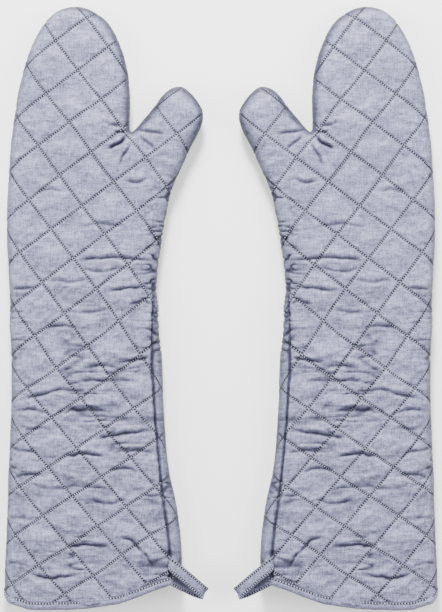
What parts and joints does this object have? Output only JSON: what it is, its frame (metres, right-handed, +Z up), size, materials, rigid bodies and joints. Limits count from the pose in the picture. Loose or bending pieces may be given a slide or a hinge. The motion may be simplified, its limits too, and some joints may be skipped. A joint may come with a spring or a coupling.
{
  "type": "heat resistant glove",
  "caption": "Pair of long diamond-quilted oven mitts with a finger pocket, a thumb, an open cuff and a hanging loop, lying flat side by side.",
  "frame": {"origin": "bottom centre of the pair, at the middle of its length and width, on the surface it lies on", "axes": "+Z up out of the palms; +Y from the hems towards the fingertips; +X from the left mitt to the right mitt"},
  "size_m": [0.4388, 0.6096, 0.0355],
  "materials": {
    "outer_fabric": "matte silver-grey coated cotton",
    "wadding": "soft white batting",
    "lining_fabric": "natural cotton",
    "thread": "grey sewing thread"
  },
  "bodies": {
    "left_cuff": {"left_cuff_palm_outer": "outer_fabric", "left_cuff_back_outer": "outer_fabric", "left_cuff_palm_wadding": "wadding", "left_cuff_back_wadding": "wadding", "left_cuff_lining": "lining_fabric", "left_hem_binding": "outer_fabric", "left_hem_thread": "thread"},
    "left_hand": {"left_hand_palm_outer": "outer_fabric", "left_hand_back_outer": "outer_fabric", "left_hand_palm_wadding": "wadding", "left_hand_back_wadding": "wadding", "left_hand_lining": "lining_fabric"},
    "left_fingers": {"left_fingers_palm_outer": "outer_fabric", "left_fingers_back_outer": "outer_fabric", "left_fingers_palm_wadding": "wadding", "left_fingers_back_wadding": "wadding", "left_fingers_lining": "lining_fabric"},
    "left_thumb": {"left_thumb_palm_outer": "outer_fabric", "left_thumb_back_outer": "outer_fabric", "left_thumb_palm_wadding": "wadding", "left_thumb_back_wadding": "wadding", "left_thumb_lining": "lining_fabric"},
    "left_loop": {"left_hanging_loop": "outer_fabric", "left_loop_thread": "thread"},
    "right_cuff": {"right_cuff_palm_outer": "outer_fabric", "right_cuff_back_outer": "outer_fabric", "right_cuff_palm_wadding": "wadding", "right_cuff_back_wadding": "wadding", "right_cuff_lining": "lining_fabric", "right_hem_binding": "outer_fabric", "right_hem_thread": "thread"},
    "right_hand": {"right_hand_palm_outer": "outer_fabric", "right_hand_back_outer": "outer_fabric", "right_hand_palm_wadding": "wadding", "right_hand_back_wadding": "wadding", "right_hand_lining": "lining_fabric"},
    "right_fingers": {"right_fingers_palm_outer": "outer_fabric", "right_fingers_back_outer": "outer_fabric", "right_fingers_palm_wadding": "wadding", "right_fingers_back_wadding": "wadding", "right_fingers_lining": "lining_fabric"},
    "right_thumb": {"right_thumb_palm_outer": "outer_fabric", "right_thumb_back_outer": "outer_fabric", "right_thumb_palm_wadding": "wadding", "right_thumb_back_wadding": "wadding", "right_thumb_lining": "lining_fabric"},
    "right_loop": {"right_hanging_loop": "outer_fabric", "right_loop_thread": "thread"}
  },
  "joints": [
    {"name": "left_wrist_bend", "type": "hinge", "parent": "left_cuff", "child": "left_hand", "pos_m": [-0.1344, 0.0602, 0.017], "axis": [1, 0, 0], "range_deg": [0, 45], "stiffness_Nm_per_rad": 0.05},
    {"name": "left_finger_curl", "type": "hinge", "parent": "left_hand", "child": "left_fingers", "pos_m": [-0.1554, 0.2032, 0.017], "axis": [1, 0, 0], "range_deg": [0, 70], "stiffness_Nm_per_rad": 0.05},
    {"name": "left_thumb_curl", "type": "hinge", "parent": "left_hand", "child": "left_thumb", "pos_m": [-0.0484, 0.1721, 0.017], "axis": [0.8746, -0.4848, 0], "range_deg": [0, 50], "stiffness_Nm_per_rad": 0.03},
    {"name": "left_loop_swing", "type": "hinge", "parent": "left_cuff", "child": "left_loop", "pos_m": [-0.0496, -0.2649, 0.0299], "axis": [-0.5446, -0.8387, 0], "range_deg": [0, 100]},
    {"name": "right_wrist_bend", "type": "hinge", "parent": "right_cuff", "child": "right_hand", "pos_m": [0.1344, 0.0602, 0.017], "axis": [1, 0, 0], "range_deg": [0, 45], "stiffness_Nm_per_rad": 0.05},
    {"name": "right_finger_curl", "type": "hinge", "parent": "right_hand", "child": "right_fingers", "pos_m": [0.1554, 0.2032, 0.017], "axis": [1, 0, 0], "range_deg": [0, 70], "stiffness_Nm_per_rad": 0.05},
    {"name": "right_thumb_curl", "type": "hinge", "parent": "right_hand", "child": "right_thumb", "pos_m": [0.0484, 0.1721, 0.017], "axis": [0.8746, 0.4848, 0], "range_deg": [0, 50], "stiffness_Nm_per_rad": 0.03},
    {"name": "right_loop_swing", "type": "hinge", "parent": "right_cuff", "child": "right_loop", "pos_m": [0.0496, -0.2649, 0.0299], "axis": [-0.5446, 0.8387, 0], "range_deg": [0, 100]},
    {"name": "right_mitt_lift", "type": "slide", "parent": "left_cuff", "child": "right_cuff", "axis": [0, 0, 1], "range_m": [0, 0.2]}
  ]
}
